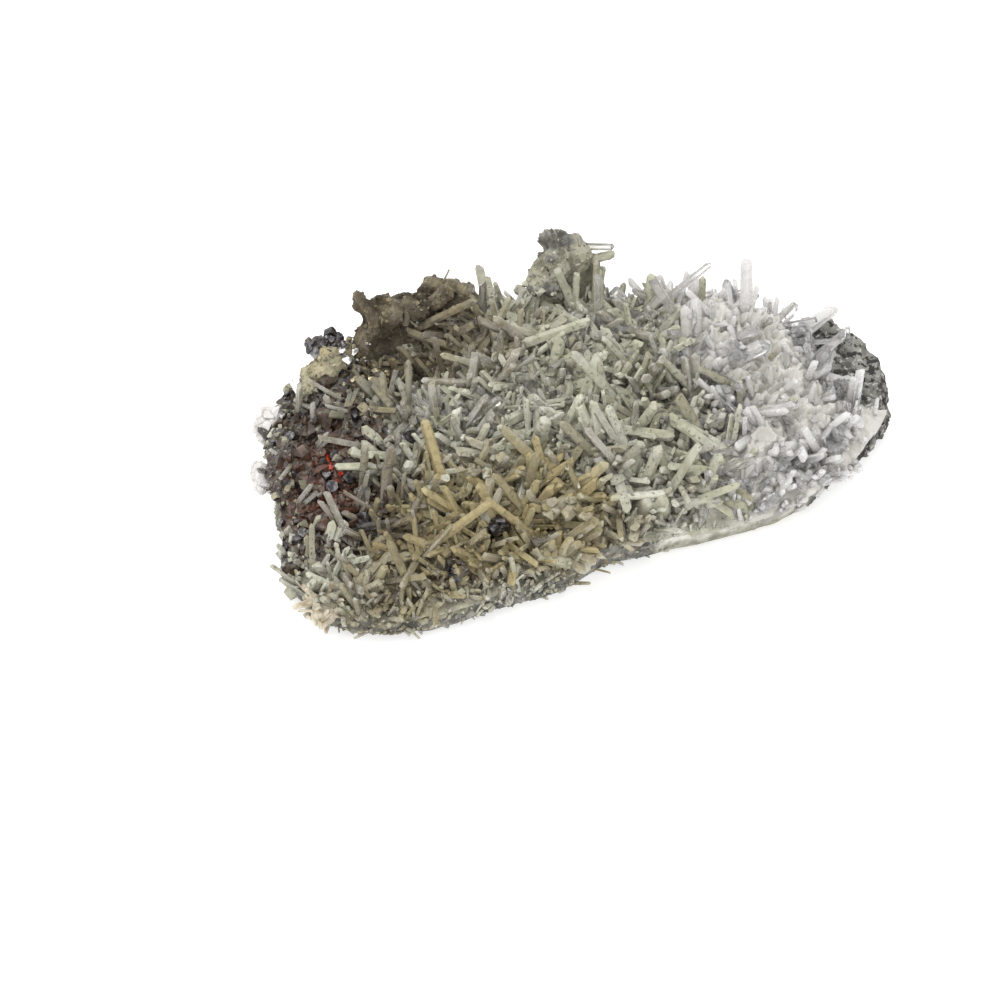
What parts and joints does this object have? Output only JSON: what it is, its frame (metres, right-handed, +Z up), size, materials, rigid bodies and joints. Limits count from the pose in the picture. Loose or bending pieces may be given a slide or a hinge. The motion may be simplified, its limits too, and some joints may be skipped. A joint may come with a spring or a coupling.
{
  "type": "quartz crystal specimen",
  "caption": "Flat-lying plate of dark vein rock covered with a druse of quartz prisms, clear at one end and dusted khaki at the other, with sphalerite, galena, pyrite and calcite",
  "frame": {"origin": "on the flat underside of the rock, below the middle of the specimen", "axes": "+X along the specimen towards its clear narrow end, +Y towards its thick back edge, +Z up"},
  "size_m": [0.1535, 0.0846, 0.0434],
  "materials": {
    "vein_rock": "rough broken vein rock, grey and speckled, dusted with khaki clay",
    "quartz_druse": "crowded small quartz prisms, glassy grey with a matt khaki dust on the faces that look up",
    "quartz_clear": "clear to milky quartz with a vitreous lustre",
    "quartz_coated": "quartz prism under a thin matt coat of khaki to ochre clay",
    "sphalerite": "blackish brown sphalerite with a resinous lustre and red glints",
    "galena": "lead-grey cleaved cubes with a dull metallic lustre",
    "pyrite": "brassy grey metallic grains",
    "calcite": "white to cream blades and rhombs, satin"
  },
  "bodies": {
    "root": {"rock_matrix": "vein_rock", "quartz_druse": "quartz_druse", "sphalerite_crust": "sphalerite", "galena_cap": "galena", "pyrite_nest": "pyrite", "calcite_back": "calcite", "calcite_side": "calcite", "calcite_corner": "calcite", "galena_cube_1": "galena", "galena_cube_2": "galena", "galena_cube_3": "galena", "galena_cube_4": "galena", "crystal_grey_upright": "quartz_clear", "crystal_knob_side_high": "quartz_clear", "crystal_back_left": "quartz_clear", "crystal_back_spike": "quartz_clear", "crystal_ridge_lying": "quartz_clear", "crystal_ridge_upright": "quartz_clear", "crystal_clear_blade": "quartz_clear", "crystal_clear_upright": "quartz_clear", "crystal_bright_point": "quartz_clear", "crystal_milky_leaning": "quartz_clear", "crystal_end_upright": "quartz_clear", "crystal_bright_upright": "quartz_clear", "crystal_grey_post": "quartz_clear", "crystal_bluish_stub": "quartz_clear", "crystal_glassy_bar": "quartz_clear", "crystal_clear_double": "quartz_clear", "crystal_knob_foot": "quartz_coated", "crystal_knob_leaning": "quartz_coated", "crystal_knob_side_low": "quartz_coated", "crystal_grey_brown": "quartz_coated", "crystal_back_point": "quartz_coated", "crystal_crossing": "quartz_coated", "crystal_long_slanted": "quartz_coated", "crystal_khaki_upright": "quartz_coated", "crystal_khaki_slanted": "quartz_coated", "crystal_long_thin": "quartz_coated", "crystal_broad_pale": "quartz_coated", "crystal_blunt": "quartz_coated", "crystal_pale_slanted": "quartz_coated", "crystal_pair_left": "quartz_coated", "crystal_pair_right": "quartz_coated", "crystal_green_fan": "quartz_coated", "crystal_front_bar": "quartz_coated", "crystal_hollow_block": "quartz_coated", "crystal_cream_block": "quartz_coated", "crystal_amber_blade": "quartz_coated", "crystal_ochre_slanted": "quartz_coated", "crystal_ochre_arm": "quartz_coated", "crystal_ochre_upright": "quartz_coated", "crystal_brown_bar": "quartz_coated", "crystal_tan_bar": "quartz_coated", "crystal_tan_branch": "quartz_coated", "crystal_tan_blade": "quartz_coated", "crystal_khaki_post": "quartz_coated", "crystal_grey_green": "quartz_coated"}
  },
  "joints": []
}
